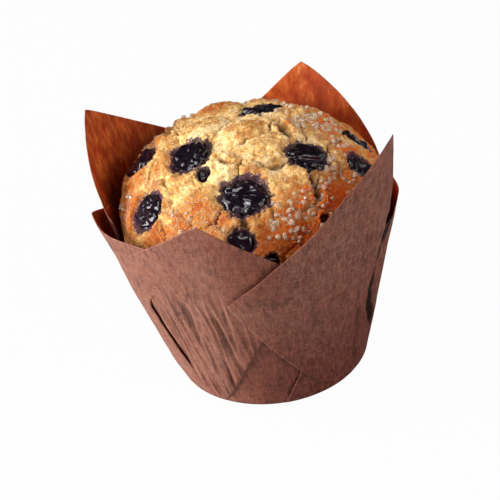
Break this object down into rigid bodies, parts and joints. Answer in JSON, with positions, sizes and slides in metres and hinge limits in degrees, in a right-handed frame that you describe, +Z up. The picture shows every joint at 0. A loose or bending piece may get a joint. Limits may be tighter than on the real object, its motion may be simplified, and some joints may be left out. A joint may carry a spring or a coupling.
{
  "type": "berry muffin",
  "caption": "Baked berry muffin with a craggy, sugared crown and sunken berries, standing in a folded brown paper case with tall pointed petals.",
  "frame": {"origin": "middle of the flat base, on the axis of the paper case", "axes": "+Z up, -Y towards the front, where the low petal and the tall right petal cross, +X to the right"},
  "size_m": [0.0847, 0.0824, 0.082],
  "materials": {
    "crust": "dry baked crumb, golden brown, pale where it has split",
    "paper": "uncoated brown baking paper, greased on its inside",
    "berry": "wrinkled, moist dark skin"
  },
  "bodies": {
    "root": {"paper_case": "paper", "muffin": "crust", "berry_01": "berry", "berry_02": "berry", "berry_03": "berry", "berry_04": "berry", "berry_05": "berry", "berry_06": "berry", "berry_07": "berry", "berry_08": "berry", "berry_09": "berry", "berry_10": "berry", "berry_11": "berry", "berry_12": "berry", "berry_13": "berry", "berry_14": "berry", "berry_15": "berry", "berry_16": "berry", "berry_17": "berry"}
  },
  "joints": []
}
